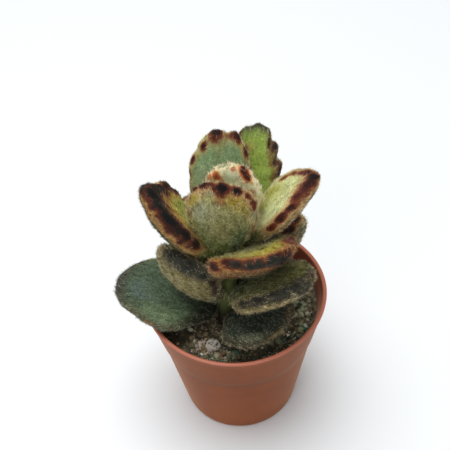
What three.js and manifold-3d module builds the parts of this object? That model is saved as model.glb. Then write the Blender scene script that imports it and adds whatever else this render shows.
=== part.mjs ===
// A small potted panda plant (Kalanchoe tomentosa): a thin nursery pot, its soil, a short stem, fleshy leaves
// that rise from it in a loose rosette, and the perlite, stones and moss that lie on the soil.
// Millimetres, +Z up. The origin is the middle of the pot's foot, on the floor. The plant is seen along +Y.
import * as THREE from "three";
import { mergeVertices } from "three/addons/utils/BufferGeometryUtils.js";
import Module from "manifold-3d";

const wasm = await Module();
wasm.setup();

// Left between two pieces that touch, and all round a pebble that is sunk in the soil
const gap = 0.3;
const socketGap = 0.4;

// The collar is the wider band under the lip. The foot's outer edge is cut at a slant, and the floor is
// lifted inside the foot ring, but for a pad in its middle.
const pot = {
  height: 49,
  lipRadius: 27.5,
  lipHeight: 1.2,
  lipWidth: 1.2,
  lipOverhang: 0.2,
  lipRound: 0.3,
  collarFoot: 33.4,
  collarFootRadius: 24.3,
  collarStep: 0.35,
  footRadius: 18.7,
  footEdge: 1,
  footCut: 0.7,
  footRingWidth: 2.4,
  middlePadRadius: 4,
  floorLift: 1.1,
  wall: 0.9,
  sides: 64,
};

const drain = { holes: 6, radius: 2.2, circle: 10, depth: 6, sides: 16 };

// The soil's surface is flat but for broad swells, with finer lumps on them
const soil = {
  level: 42.8,
  ringRadii: [22, 17.5, 13, 8.5, 4],
  swell: 0.35,
  swellLengths: [20, 23],
  grain: 0.25,
  grainLengths: [5.7, 4.8],
  sides: 48,
};

// The stem leans from its root at the left front to the pot's middle
const stem = {
  bottom: 34,
  top: 76,
  radius: 2.9,
  tipRadius: 2.1,
  root: [-3.4, -7.1],
  crown: [0, -2.4],
  leanFrom: 38,
  leanTo: 80,
  sides: 16,
  rings: 10,
};

// What every leaf shares, in shares of its own size. Its width grows from the neck to the widest place, and
// its tip rounds off from tipFrom on, fuller where blunt is more. Its outline is filled from the heart. A
// square of 1 is an oval section, and less is a squarer one. The teeth stand on the tip's half, and reach
// their full height toothFade past the leaf's middle.
const leafForm = {
  neck: 0.38,
  growth: 1.4,
  widest: 0.6,
  tipFrom: 0.45,
  blunt: 2.4,
  rootCap: 0.06,
  heart: 0.55,
  square: 0.62,
  rootThickness: 0.74,
  cupFrom: 0.62,
  teeth: 16,
  toothFade: 0.15,
  around: 32,
  layers: 6,
};

// Each leaf: its height on the stem, how far out and aside of the stem's middle it starts, its heading from
// +X and the turn along it, its pitch at the root and at the tip, its size, its roll, its cup and how far its
// teeth stand out. A leaf of another outline has its own widest and blunt.
const leaves = [
  { name: "leaf_low_left", height: 48.5, out: 2.9, aside: 0.85, heading: 173, turn: -3, pitch: [12.5, 16],
    long: 30.5, wide: 27, thick: 5, roll: -3, cup: 1, tooth: 0, widest: 0.52, blunt: 2 },
  { name: "leaf_low_front", height: 48.5, out: 3.1, aside: 0, heading: -47, turn: -4, pitch: [20, 5],
    long: 16.8, wide: 23.5, thick: 5, roll: 8, cup: 0.8, tooth: 0 },
  { name: "leaf_low_right", height: 55.5, out: 2.9, aside: 0, heading: -32, turn: -12, pitch: [31, 40],
    long: 26.5, wide: 25, thick: 6.5, roll: 12, cup: 2.2, tooth: 0.12 },
  { name: "leaf_middle_left", height: 54.5, out: 3, aside: -0.8, heading: 190, turn: -8, pitch: [42, 82],
    long: 26.5, wide: 20.5, thick: 7, roll: -42, cup: 2.5, tooth: 0.12 },
  { name: "leaf_middle_front", height: 68.5, out: 2.7, aside: 0, heading: -61, turn: -6, pitch: [38, 48],
    long: 23, wide: 24.5, thick: 6.5, roll: 6, cup: 2.3, tooth: 0.2 },
  { name: "leaf_behind_right", height: 60, out: 2.9, aside: 0, heading: 22, turn: 0, pitch: [22, 42],
    long: 25, wide: 21, thick: 6, roll: 25, cup: 1.7, tooth: 0.12 },
  { name: "leaf_upper_left", height: 67.4, out: 2.9, aside: 1.05, heading: 181, turn: -6, pitch: [38.5, 72.5],
    long: 33.4, wide: 18, thick: 7, roll: -12, cup: 2.5, tooth: 0.35 },
  { name: "leaf_upper_right", height: 73.4, out: 2.7, aside: 0, heading: 0, turn: 4, pitch: [42, 52],
    long: 29.7, wide: 16.4, thick: 6.5, roll: 8, cup: 2.2, tooth: 0.2 },
  { name: "leaf_back_tall", height: 70.5, out: 3, aside: -0.6, heading: 95, turn: 2, pitch: [57, 75],
    long: 32.5, wide: 17.8, thick: 5.5, roll: 2, cup: 1.5, tooth: 0.3 },
  { name: "leaf_back_green", height: 65, out: 3, aside: 0, heading: 65, turn: 4, pitch: [37, 67],
    long: 39.3, wide: 17.2, thick: 5.5, roll: -8, cup: 1.2, tooth: 0.5 },
  { name: "leaf_bud_front", height: 73, out: 3.6, aside: 0.7, heading: -108, turn: 3, pitch: [78, 97],
    long: 25.5, wide: 19.2, thick: 5, roll: -5, cup: 2.6, tooth: 0.25 },
  { name: "leaf_bud_back", height: 77, out: 1, aside: 0, heading: 70, turn: 4, pitch: [80, 93],
    long: 21.6, wide: 16, thick: 4.8, roll: -10, cup: 2.3, tooth: 0.25 },
  { name: "leaf_rear_low", height: 53.5, out: 2.9, aside: 0, heading: 108, turn: 6, pitch: [14, 12],
    long: 23, wide: 17.5, thick: 5, roll: 0, cup: 1, tooth: 0 },
  { name: "leaf_rear_right", height: 51.2, out: 2.9, aside: 0, heading: 33, turn: -6, pitch: [14, 10],
    long: 20.5, wide: 16.5, thick: 5, roll: 0, cup: 1, tooth: 0 },
  { name: "leaf_rear_left", height: 59, out: 2.8, aside: 0, heading: 120, turn: 4, pitch: [30, 44],
    long: 25, wide: 19, thick: 5.5, roll: 0, cup: 2, tooth: 0.12 },
];

// What lies on the soil, half sunk in it: its place, its half sizes, its turn about Z and how lumpy it is
const pieces = [
  { name: "perlite_lump", slot: "perlite", at: [-7.5, -16], half: [2.1, 2, 1.7],
    turn: 20, lumpy: 0.16, detail: 2 },
  { name: "perlite_shard", slot: "perlite", at: [-10.9, -15], half: [1.1, 1.5, 0.9],
    turn: -30, lumpy: 0.2, detail: 1 },
  { name: "perlite_grain_left", slot: "perlite", at: [-13, -14], half: [0.8, 0.7, 0.6],
    turn: 50, lumpy: 0.15, detail: 1 },
  { name: "perlite_grain_front", slot: "perlite", at: [-11.9, -17.5], half: [0.9, 0.7, 0.6],
    turn: 10, lumpy: 0.15, detail: 1 },
  { name: "perlite_grain_right", slot: "perlite", at: [20.3, -11.2], half: [0.7, 0.7, 0.6],
    turn: 0, lumpy: 0.12, detail: 1 },
  { name: "bark_chip_front", slot: "bark", at: [-4.8, -19.4], half: [1.4, 0.8, 0.6],
    turn: 15, lumpy: 0.12, detail: 1 },
  { name: "bark_chip_right", slot: "bark", at: [22.6, -5.6], half: [0.8, 1.8, 0.6],
    turn: -12, lumpy: 0.12, detail: 1 },
  { name: "moss_clump", slot: "moss", at: [19, -4.2], half: [1.9, 2.2, 1.4],
    turn: 30, lumpy: 0.2, detail: 2 },
];

// Plain colours from the photograph
const finishes = {
  pot: { color: 0x9a5a42, roughness: 0.55 },
  soil: { color: 0x1e1c17, roughness: 0.95 },
  stem: { color: 0x53632f, roughness: 0.8 },
  leaf: { color: 0x6f7f5c, roughness: 0.85 },
  perlite: { color: 0xa9a598, roughness: 0.9 },
  bark: { color: 0x6d5846, roughness: 0.9 },
  moss: { color: 0x56604a, roughness: 0.95 },
};

const radians = THREE.MathUtils.degToRad;
const clamp = THREE.MathUtils.clamp;

function material(slot) {
  const finish = new THREE.MeshStandardMaterial({ ...finishes[slot], metalness: 0 });
  finish.name = slot;
  return finish;
}

function named(name, geometry, slot) {
  const mesh = new THREE.Mesh(geometry, material(slot));
  mesh.name = name;
  return mesh;
}

// Shared vertices are merged, and triangles that had shrunk to a line are left out
function weld(geometry) {
  geometry.deleteAttribute("normal");
  geometry.deleteAttribute("uv");
  const merged = mergeVertices(geometry);
  const old = merged.getIndex();
  const kept = [];
  for (let i = 0; i < old.count; i += 3) {
    const corners = [old.getX(i), old.getX(i + 1), old.getX(i + 2)];
    if (new Set(corners).size === 3) {
      kept.push(...corners);
    }
  }
  merged.setIndex(kept);
  return merged;
}

function toSolid(geometry) {
  const welded = weld(geometry);
  const vertProperties = new Float32Array(welded.getAttribute("position").array);
  const triVerts = new Uint32Array(welded.getIndex().array);
  return new wasm.Manifold(new wasm.Mesh({ numProp: 3, vertProperties, triVerts }));
}

function toGeometry(solid) {
  const mesh = solid.getMesh();
  const geometry = new THREE.BufferGeometry();
  geometry.setAttribute("position", new THREE.BufferAttribute(new Float32Array(mesh.vertProperties), 3));
  geometry.setIndex(new THREE.BufferAttribute(new Uint32Array(mesh.triVerts), 1));
  geometry.computeVertexNormals();
  return geometry;
}

// Each vertex goes to where the function puts it
function reshape(geometry, move) {
  const position = geometry.getAttribute("position");
  const point = new THREE.Vector3();
  for (let i = 0; i < position.count; i += 1) {
    move(point.fromBufferAttribute(position, i));
    position.setXYZ(i, point.x, point.y, point.z);
  }
  geometry.computeVertexNormals();
  return geometry;
}

// A profile of radii and heights, turned about Z
function turned(profile, sides) {
  const points = profile.map(([radius, height]) => new THREE.Vector2(radius, height));
  return new THREE.LatheGeometry(points, sides).rotateX(Math.PI / 2);
}

// The radius of the pot's inner wall at a height
function innerRadius(height) {
  const foot = pot.footRadius - pot.wall;
  const bend = pot.collarFootRadius - pot.collarStep - pot.wall;
  const mouth = pot.lipRadius - pot.lipWidth;
  if (height < pot.collarFoot) {
    return THREE.MathUtils.mapLinear(height, 0, pot.collarFoot, foot, bend);
  }
  return THREE.MathUtils.mapLinear(height, pot.collarFoot, pot.height, bend, mouth);
}

function potGeometry() {
  const lipFoot = pot.height - pot.lipHeight;
  const collarTop = pot.lipRadius - pot.lipOverhang;
  const mouth = pot.lipRadius - pot.lipWidth;
  const ringInside = pot.footRadius - pot.footEdge - pot.footRingWidth;
  const floorTop = pot.floorLift + pot.wall;
  const profile = [
    [0, 0],
    [pot.middlePadRadius, 0],
    [pot.middlePadRadius + pot.floorLift / 2, pot.floorLift],
    [ringInside - pot.floorLift / 2, pot.floorLift],
    [ringInside, 0],
    [pot.footRadius - pot.footEdge, 0],
    [pot.footRadius, pot.footCut],
    [pot.collarFootRadius - pot.collarStep, pot.collarFoot],
    [pot.collarFootRadius, pot.collarFoot + pot.collarStep],
    [collarTop, lipFoot],
    [pot.lipRadius, lipFoot + pot.lipRound],
    [pot.lipRadius, pot.height - pot.lipRound],
    [pot.lipRadius - pot.lipRound, pot.height],
    [mouth + pot.lipRound, pot.height],
    [mouth, pot.height - pot.lipRound],
    [innerRadius(pot.collarFoot), pot.collarFoot],
    [innerRadius(floorTop + pot.footEdge), floorTop + pot.footEdge],
    [innerRadius(floorTop) - pot.footEdge, floorTop],
    [0, floorTop],
  ];
  let solid = toSolid(turned(profile, pot.sides));
  for (let i = 0; i < drain.holes; i += 1) {
    const hole = new THREE.CylinderGeometry(drain.radius, drain.radius, drain.depth, drain.sides);
    hole.rotateX(Math.PI / 2);
    hole.translate(drain.circle, 0, 0);
    hole.rotateZ((i * 2 * Math.PI) / drain.holes);
    solid = solid.subtract(toSolid(hole));
  }
  return toGeometry(solid);
}

// A wave of a given length
function wave(at, length) {
  return Math.sin((2 * Math.PI * at) / length);
}

// The height of the soil's surface at a place
function soilTop(x, y) {
  const swell = wave(x, soil.swellLengths[0]) * wave(y, soil.swellLengths[1]);
  const grain = wave(x + y, soil.grainLengths[0]) * wave(x - y, soil.grainLengths[1]);
  return soil.level + soil.swell * swell + soil.grain * grain;
}

function soilGeometry(sunk) {
  const bottom = pot.floorLift + pot.wall + gap;
  const rim = innerRadius(soil.level) - gap;
  const profile = [
    [0, bottom],
    [innerRadius(bottom) - pot.footEdge - gap, bottom],
    [innerRadius(bottom + pot.footEdge) - gap, bottom + pot.footEdge],
    [innerRadius(pot.collarFoot) - gap, pot.collarFoot],
    [rim, soil.level],
    ...soil.ringRadii.map((radius) => [radius, soil.level]),
    [0, soil.level],
  ];
  const plug = turned(profile, soil.sides);
  reshape(plug, (point) => {
    const onTop = point.z > soil.level - gap;
    const atRim = Math.hypot(point.x, point.y) > rim - gap;
    if (onTop && !atRim) {
      point.z = soilTop(point.x, point.y);
    }
  });
  let solid = toSolid(plug);
  for (const piece of sunk) {
    solid = solid.subtract(toSolid(piece));
  }
  return toGeometry(solid);
}

// The middle of the stem at a height
function stemAxis(height) {
  const lean = THREE.MathUtils.smoothstep(height, stem.leanFrom, stem.leanTo);
  const x = THREE.MathUtils.lerp(stem.root[0], stem.crown[0], lean);
  const y = THREE.MathUtils.lerp(stem.root[1], stem.crown[1], lean);
  return new THREE.Vector3(x, y, height);
}

function stemGeometry(grow) {
  const bottom = stem.bottom - grow;
  const length = stem.top - bottom;
  const top = stem.tipRadius + grow;
  const foot = stem.radius + grow;
  const tube = new THREE.CylinderGeometry(top, foot, length, stem.sides, stem.rings);
  tube.rotateX(Math.PI / 2);
  tube.translate(0, 0, bottom + length / 2);
  return reshape(tube, (point) => {
    const middle = stemAxis(point.z);
    point.x += middle.x;
    point.y += middle.y;
  });
}

// Half a leaf's width at a share of its length, from 0 at the root to 1 at the tip
function halfWidth(leaf, share) {
  const { widest, blunt } = { ...leafForm, ...leaf };
  const grown = Math.sin((Math.PI / 2) * Math.min(1, share / widest)) ** leafForm.growth;
  const pastTip = Math.max(0, (share - leafForm.tipFrom) / (1 - leafForm.tipFrom));
  const tip = Math.sqrt(Math.max(0, 1 - pastTip ** blunt));
  const root = Math.sqrt(1 - (1 - Math.min(1, share / leafForm.rootCap)) ** 2);
  return (leaf.wide / 2) * (leafForm.neck + (1 - leafForm.neck) * grown) * tip * root;
}

// A unit vector at a heading from +X and a pitch above the horizon
function direction(heading, pitch) {
  const flat = Math.cos(pitch);
  return new THREE.Vector3(Math.cos(heading) * flat, Math.sin(heading) * flat, Math.sin(pitch));
}

// Where a point of a leaf lies, in the leaf's own frame: the root at the origin, headed along +X. round goes
// about the outline, from the root at 0 to the tip at half a turn and back. tilt goes from the upper face, at
// a quarter turn, over the margin at 0 to the lower face.
function leafPoint(leaf, round, tilt) {
  const share = (1 - Math.cos(round)) / 2;
  const heart = leafForm.heart * leaf.long;
  const side = halfWidth(leaf, share) * Math.sign(Math.sin(round));
  const fromTip = round - Math.PI;
  const toothed = clamp((Math.cos(fromTip) + leafForm.toothFade) / (2 * leafForm.toothFade), 0, 1);
  const tooth = leaf.tooth * toothed * Math.cos(leafForm.teeth * fromTip);
  const push = 1 + tooth / Math.hypot(share * leaf.long - heart, side);
  const reach = Math.abs(Math.cos(tilt)) ** leafForm.square;
  const lift = Math.sign(Math.sin(tilt)) * Math.abs(Math.sin(tilt)) ** leafForm.square;

  const along = heart + (share * leaf.long - heart) * push * reach;
  const across = side * push * reach;
  const step = clamp(along / leaf.long, 0, 1);
  const plump = leafForm.rootThickness + (1 - leafForm.rootThickness) * Math.sin(Math.PI * step);
  const cupped = leaf.cup * (across / (leaf.wide / 2)) ** 2 * Math.min(1, step / leafForm.cupFrom);
  const above = (leaf.thick / 2) * lift * plump + cupped;

  const rootArm = direction(0, radians(leaf.pitch[0])).multiplyScalar(leaf.long / 2);
  const tipArm = direction(radians(leaf.turn), radians(leaf.pitch[1])).multiplyScalar(leaf.long / 2);
  const middle = rootArm.clone();
  const end = middle.clone().add(tipArm);
  const spine = new THREE.QuadraticBezierCurve3(new THREE.Vector3(), middle, end).getPoint(step);
  const forward = rootArm.lerp(tipArm, step).normalize();
  const level = direction(radians(leaf.turn) * step - Math.PI / 2, 0);
  const upward = level.clone().cross(forward).normalize();
  const sideways = forward.clone().cross(upward);
  const roll = radians(leaf.roll);
  const edgeways = sideways.clone().multiplyScalar(Math.cos(roll)).addScaledVector(upward, Math.sin(roll));
  const normal = upward.multiplyScalar(Math.cos(roll)).addScaledVector(sideways, -Math.sin(roll));
  spine.addScaledVector(edgeways, across);
  spine.addScaledVector(normal, above);
  return spine.addScaledVector(forward, along - step * leaf.long);
}

function leafMesh(leaf) {
  const ball = new THREE.SphereGeometry(1, leafForm.around, leafForm.layers);
  reshape(ball, (point) => {
    const round = Math.atan2(point.z, -point.x);
    const tilt = Math.asin(clamp(point.y, -1, 1));
    point.copy(leafPoint(leaf, round, tilt));
  });
  const mesh = named(leaf.name, weld(ball), "leaf");
  const heading = radians(leaf.heading);
  mesh.rotation.z = heading;
  mesh.position.copy(stemAxis(leaf.height));
  mesh.position.addScaledVector(direction(heading, 0), leaf.out);
  mesh.position.addScaledVector(direction(heading - Math.PI / 2, 0), leaf.aside);
  return mesh;
}

// How many lumps lie across a pebble each way
const pebbleWaves = [0.6, 0.4, 0.9];

// A lumpy pebble about the origin, larger all round by grow
function pebble(piece, grow) {
  const ball = weld(new THREE.IcosahedronGeometry(1, piece.detail));
  return reshape(ball, (point) => {
    const lump = pebbleWaves.reduce((sum, waves, i) => sum + wave(point.getComponent(i), 1 / waves), 0) / 3;
    point.multiply(new THREE.Vector3(...piece.half).addScalar(grow));
    point.multiplyScalar(1 + piece.lumpy * lump);
  });
}

function pieceMesh(piece) {
  const mesh = named(piece.name, pebble(piece, 0), piece.slot);
  mesh.rotation.z = radians(piece.turn);
  mesh.position.set(...piece.at, soilTop(...piece.at) + gap);
  mesh.updateMatrix();
  return mesh;
}

const scattered = pieces.map(pieceMesh);
const sockets = pieces.map((piece, i) => pebble(piece, socketGap).applyMatrix4(scattered[i].matrix));

const potted = new THREE.Group();
potted.add(named("pot", potGeometry(), "pot"));
potted.add(named("soil", soilGeometry([stemGeometry(gap), ...sockets]), "soil"));
potted.add(...scattered);

const plant = new THREE.Group();
plant.add(named("stem", weld(stemGeometry(0)), "stem"));
plant.add(...leaves.map(leafMesh));

const whole = new THREE.Group();
whole.add(potted, plant);
export default whole;
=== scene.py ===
# A young panda plant (Kalanchoe tomentosa) in its nursery pot: the looks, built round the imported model.
# Lengths in the dictionaries are millimetres, as in the model, and angles are degrees. Meshes are in metres.
import math

import bpy
import numpy as np
from mathutils import Matrix


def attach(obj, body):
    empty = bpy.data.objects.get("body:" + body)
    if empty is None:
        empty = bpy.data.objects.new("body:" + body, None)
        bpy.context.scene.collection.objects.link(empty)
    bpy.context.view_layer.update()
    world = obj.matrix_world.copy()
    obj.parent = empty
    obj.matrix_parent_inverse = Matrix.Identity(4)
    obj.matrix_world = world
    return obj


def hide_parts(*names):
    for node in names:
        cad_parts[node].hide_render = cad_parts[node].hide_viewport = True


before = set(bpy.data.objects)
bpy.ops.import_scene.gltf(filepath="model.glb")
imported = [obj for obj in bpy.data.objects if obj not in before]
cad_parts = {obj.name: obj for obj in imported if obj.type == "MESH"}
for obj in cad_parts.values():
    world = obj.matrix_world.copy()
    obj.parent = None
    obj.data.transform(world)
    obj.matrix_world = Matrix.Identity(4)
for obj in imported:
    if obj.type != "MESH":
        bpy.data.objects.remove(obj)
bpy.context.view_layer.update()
mm = 0.001
print("frame loaded:", len(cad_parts), "nodes")


# Shader maths. A Signal is a socket that can be added and multiplied like a number.

class Signal:
    def __init__(self, look, socket):
        self.look = look
        self.socket = socket

    def maths(self, operation, first, second):
        return self.look.add("ShaderNodeMath", {"operation": operation}, {0: first, 1: second})

    def __add__(self, other):
        return self.maths("ADD", self, other)

    def __sub__(self, other):
        return self.maths("SUBTRACT", self, other)

    def __rsub__(self, other):
        return self.maths("SUBTRACT", other, self)

    def __mul__(self, other):
        return self.maths("MULTIPLY", self, other)

    def __truediv__(self, other):
        return self.maths("DIVIDE", self, other)

    __radd__ = __add__
    __rmul__ = __mul__

    def ramp(self, low, high):  # 0 under low and 1 over high, with a soft step between
        inputs = {"Value": self, "From Min": low, "From Max": high}
        return self.look.add("ShaderNodeMapRange", {"interpolation_type": "SMOOTHSTEP"}, inputs)


class Look:
    def __init__(self, name):
        self.material = bpy.data.materials.new(name)
        self.material.use_nodes = True
        self.tree = self.material.node_tree
        self.tree.nodes.clear()

    def add(self, kind, settings, inputs, output=0):
        node = self.tree.nodes.new(kind)
        for key, value in settings.items():
            setattr(node, key, value)
        for key, value in inputs.items():
            self.feed(node.inputs[key], value)
        return Signal(self, node.outputs[output]) if node.outputs else None

    def feed(self, socket, value):
        if isinstance(value, Signal):
            self.tree.links.new(value.socket, socket)
        else:
            socket.default_value = (*value, 1) if socket.type == "RGBA" else value

    def place(self):
        return self.add("ShaderNodeTexCoord", {}, {}, "Object")

    def height(self):  # in millimetres
        return self.add("ShaderNodeSeparateXYZ", {}, {"Vector": self.place()}, "Z") / mm

    def attribute(self, name, output="Fac"):
        return self.add("ShaderNodeAttribute", {"attribute_name": name}, {}, output)

    def noise(self, size, detail=3, roughness=0.55):  # from 0 to 1, its size in millimetres
        inputs = {"Vector": self.place(), "Scale": 1 / (size * mm), "Detail": detail, "Roughness": roughness}
        return self.add("ShaderNodeTexNoise", {}, inputs)

    def mix(self, share, first, second, blend="MIX"):
        settings = {"data_type": "RGBA", "blend_type": blend}
        return self.add("ShaderNodeMix", settings, {0: share, 6: first, 7: second}, 2)

    def times(self, colour, factor):
        return self.mix(1.0, colour, factor, "MULTIPLY")

    def bump(self, height, depth, strength):  # depth in millimetres
        inputs = {"Height": height, "Distance": depth * mm, "Strength": strength}
        return self.add("ShaderNodeBump", {}, inputs)

    def finish(self, colour, rough, gloss, inputs):  # what every surface has, then what this one adds
        inputs = {"Base Color": colour, "Roughness": rough, "Specular IOR Level": gloss, **inputs}
        surface = self.add("ShaderNodeBsdfPrincipled", {}, inputs)
        self.add("ShaderNodeOutputMaterial", {}, {"Surface": surface})
        return self.material


# Inks of the spots and colours of the hairs, 0 to 255
paint = dict(
    black=(34, 18, 15), brown=(66, 30, 20), red=(104, 44, 28), slate=(54, 56, 48), rust=(120, 58, 34),
    white=(232, 230, 208), tan=(206, 180, 128), gold=(186, 142, 66),
)


def tint(colour):  # a colour as it is seen, by name or as three numbers from 0 to 255, made linear
    seen = np.array(paint[colour] if isinstance(colour, str) else colour) / 255
    return np.where(seen <= 0.04045, seen / 12.92, ((seen + 0.055) / 1.055) ** 2.4)


# Sums on arrays. Noise and the numbers on a leaf's grid keep a last axis of one, so that they work with
# points and colours.

def unit(vectors):
    return vectors / np.linalg.norm(vectors, axis=-1, keepdims=True)


def blend(first, second, share):
    return first + (second - first) * share


def ease(share):  # a straight rise from 0 to 1 made soft at both ends
    return share * share * (3 - 2 * share)


def soft(value, low, high):  # 0 under low and 1 over high, with a soft step between
    return ease(np.clip((value - low) / (high - low), 0, 1))


def circle(count):  # the angles of so many places round a circle
    return np.arange(count) * 2 * np.pi / count


def between(dice, count, low, high, power=1):  # random numbers, more of them low with a higher power
    return low + (high - low) * dice.random((count, 1)) ** power


def turned(radii, heights, turn):  # a profile carried round Z: a row for each of its points
    radii, heights = (np.reshape(values, (len(values), -1)) for values in (radii, heights))
    return np.stack(np.broadcast_arrays(radii * np.cos(turn), radii * np.sin(turn), heights), -1)


# Value noise in space: random numbers on a lattice of the given spacing, blended smoothly between its
# corners, from -1 to 1. Points are in millimetres.
def lumps(points, spacing, seed):
    cells = points / spacing + 100.5
    low = np.floor(cells)
    part = ease(cells - low)
    total = 0
    for corner in np.ndindex(2, 2, 2):
        step = np.array(corner)
        key = (low + step) @ np.array([127.1, 311.7, 74.7]) + 19.19 * seed
        chance = np.modf(np.abs(np.sin(key)) * 43758.5453)[0]
        total = total + np.prod(np.where(step == 1, part, 1 - part), axis=-1) * chance
    return (2 * total - 1)[..., None]


# Several lattices on each other, each half as wide and half as strong as the last
def roughness(points, spacing, layers, seed):
    return sum(lumps(points, spacing / 2**i, seed + i) / 2**i for i in range(layers))


# Makes an object from points in millimetres and lists of faces, each list with its own number of corners
def makeObject(name, points, faceLists, material, smooth=True):
    mesh = bpy.data.meshes.new(name)
    corners = np.concatenate([faces.reshape(-1) for faces in faceLists])
    counts = np.concatenate([np.full(len(faces), faces.shape[1]) for faces in faceLists])
    starts = np.concatenate([[0], np.cumsum(counts)[:-1]])
    mesh.vertices.add(len(points))
    mesh.vertices.foreach_set("co", (points * mm).astype(np.float32).reshape(-1))
    mesh.loops.add(len(corners))
    mesh.loops.foreach_set("vertex_index", corners.astype(np.int32))
    mesh.polygons.add(len(counts))
    mesh.polygons.foreach_set("loop_start", starts.astype(np.int32))
    mesh.polygons.foreach_set("use_smooth", np.full(len(counts), smooth))
    mesh.update(calc_edges=True)
    mesh.validate()
    mesh.materials.append(material)
    thing = bpy.data.objects.new(name, mesh)
    bpy.context.scene.collection.objects.link(thing)
    return thing


def setLayer(thing, name, values):  # a number or a colour for each point
    kind, field = ("FLOAT", "value") if values.shape[1] == 1 else ("FLOAT_COLOR", "color")
    if kind == "FLOAT_COLOR":
        values = np.insert(values, 3, 1, axis=1)
    layer = thing.data.attributes.new(name, kind, "POINT")
    layer.data.foreach_set(field, values.astype(np.float32).reshape(-1))


def setMap(thing, places):  # a place on the bake's map for each corner of each face
    layer = thing.data.uv_layers.new(name="OFBake")
    layer.uv.foreach_set("vector", places.astype(np.float32).reshape(-1))


def install(thing, slot, *nodes):
    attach(thing, "root")
    if nodes:
        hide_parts(*nodes)


def stripFaces(rows, columns, start=0):  # the faces of a grid whose rows close on themselves
    index = start + np.arange(rows * columns).reshape(rows, columns)
    after = np.roll(index, -1, axis=1)
    return np.stack([index[:-1], index[1:], after[1:], after[:-1]], -1).reshape(-1, 4)


# A ball is such a grid with its first and last row drawn together to a pole each. Here are its faces, its
# points or their values, and its bake's map, on which the grid lies row by row between the poles' fans.
def ballFaces(rows, columns):
    first = np.arange(columns)
    after = np.roll(first, -1)
    last = (rows - 1) * columns
    pole = np.full(columns, rows * columns)
    fans = [np.stack([pole, first, after], -1), np.stack([pole + 1, last + after, last + first], -1)]
    return [stripFaces(rows, columns), np.concatenate(fans)]


def ballPoints(grid):
    return np.concatenate([grid.reshape(-1, grid.shape[-1]), grid[:1].mean(1), grid[-1:].mean(1)])


def ballMap(rows, columns):
    column, row = np.meshgrid(np.arange(columns), np.arange(rows - 1) + 1)
    quads = [(column, row), (column, row + 1), (column + 1, row + 1), (column + 1, row)]
    column = np.arange(columns)
    over = [(column + 0.5, 0), (column, 1), (column + 1, 1)]
    under = [(column + 0.5, rows + 1), (column + 1, rows), (column, rows)]
    places = [np.stack([np.stack(np.broadcast_arrays(*corner), -1) for corner in corners], -2).reshape(-1, 2)
              for corners in (quads, over, under)]
    return np.concatenate(places) / (columns, rows + 1)


def makeBall(name, grid, material):
    rows, columns = grid.shape[:2]
    thing = makeObject(name, ballPoints(grid), ballFaces(rows, columns), material)
    setMap(thing, ballMap(rows, columns))
    return thing


# Makes one mesh of many small pieces with the same faces. Each has its own points and tone, and a square of
# its own on the bake's map. For each list of faces, maps has the places of their corners in that square.
def makeCrowd(name, points, faceLists, maps, tones, material, smooth):
    count, size = points.shape[:2]
    step = size * np.arange(count)[:, None, None]
    lists = [(step + faces).reshape(-1, faces.shape[1]) for faces in faceLists]
    thing = makeObject(name, points.reshape(-1, 3), lists, material, smooth)
    side = math.ceil(math.sqrt(count))
    square = np.stack([np.arange(count) % side, np.arange(count) // side], -1)[:, None]
    setMap(thing, np.concatenate([((square + places) / side).reshape(-1, 2) for places in maps]))
    setLayer(thing, "tone", np.repeat(tones, size, axis=0))
    return thing


# The camera stands where the photograph was taken from, in millimetres, and is rolled a little
view = dict(place=(-1.7, -144.9, 224.0), down=45.49, roll=-3.93, lens=60, sensor=36)

# Soft studio light: a pale room, a wide lamp overhead and a fainter one at the left front
studio = dict(
    room=0.42, floor=(0.925, 0.955, 0.975), floorGrain=(0.9, 0.9, 0.9), floorSize=3000,
    lamps=[
        dict(name="overhead", place=(-110, 80, 1000), aim=(0, 0, 60), size=760, power=7.3),
        dict(name="front", place=(-200, -420, 330), aim=(0, 0, 50), size=300, power=0.45),
    ],
)


# Puts a camera or a lamp at its place, so that it looks along forward
def stand(data, place, across, up, forward):
    thing = bpy.data.objects.new(data.name, data)
    turn = Matrix([(*row, 0) for row in np.stack([across, up, -forward], 1)] + [(0, 0, 0, 1)])
    thing.matrix_world = Matrix.Translation([v * mm for v in place]) @ turn
    bpy.context.scene.collection.objects.link(thing)
    return thing


def makeCamera():
    down = math.radians(view["down"])
    roll = math.radians(view["roll"])
    forward = np.array([0, math.cos(down), -math.sin(down)])
    level = np.array([1.0, 0, 0])
    upright = np.cross(level, forward)
    across = math.cos(roll) * level + math.sin(roll) * upright
    up = math.cos(roll) * upright - math.sin(roll) * level
    data = bpy.data.cameras.new("camera")
    data.lens = view["lens"]
    data.sensor_width = view["sensor"]
    data.clip_start = 0.01
    bpy.context.scene.camera = stand(data, view["place"], across, up, forward)


def makeStudio():
    bpy.context.scene.view_settings.view_transform = "Standard"
    world = bpy.data.worlds.new("room")
    world.use_nodes = True
    background = world.node_tree.nodes["Background"]
    background.inputs["Color"].default_value = (1, 1, 1, 1)
    background.inputs["Strength"].default_value = studio["room"]
    bpy.context.scene.world = world
    for lamp in studio["lamps"]:
        data = bpy.data.lights.new(lamp["name"], "AREA")
        data.shape = "DISK"
        data.size = lamp["size"] * mm
        data.energy = lamp["power"]
        toward = unit(np.array(lamp["aim"], float) - lamp["place"])
        side = unit(np.cross(toward, [0, 1, 0.01]))
        stand(data, lamp["place"], side, np.cross(side, toward), toward)
    look = Look("paleFloor")
    colour = look.mix(look.noise(40, 2) * 0.03, studio["floor"], studio["floorGrain"])
    material = look.finish(colour, 0.9, 0.1, {})
    corners = studio["floorSize"] / 2 * np.array([[-1, -1, 0], [1, -1, 0], [1, 1, 0], [-1, 1, 0]])
    makeObject("floor", corners, [np.array([[0, 1, 2, 3]])], material)


makeCamera()
makeStudio()
print("camera and lights are set")

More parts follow.
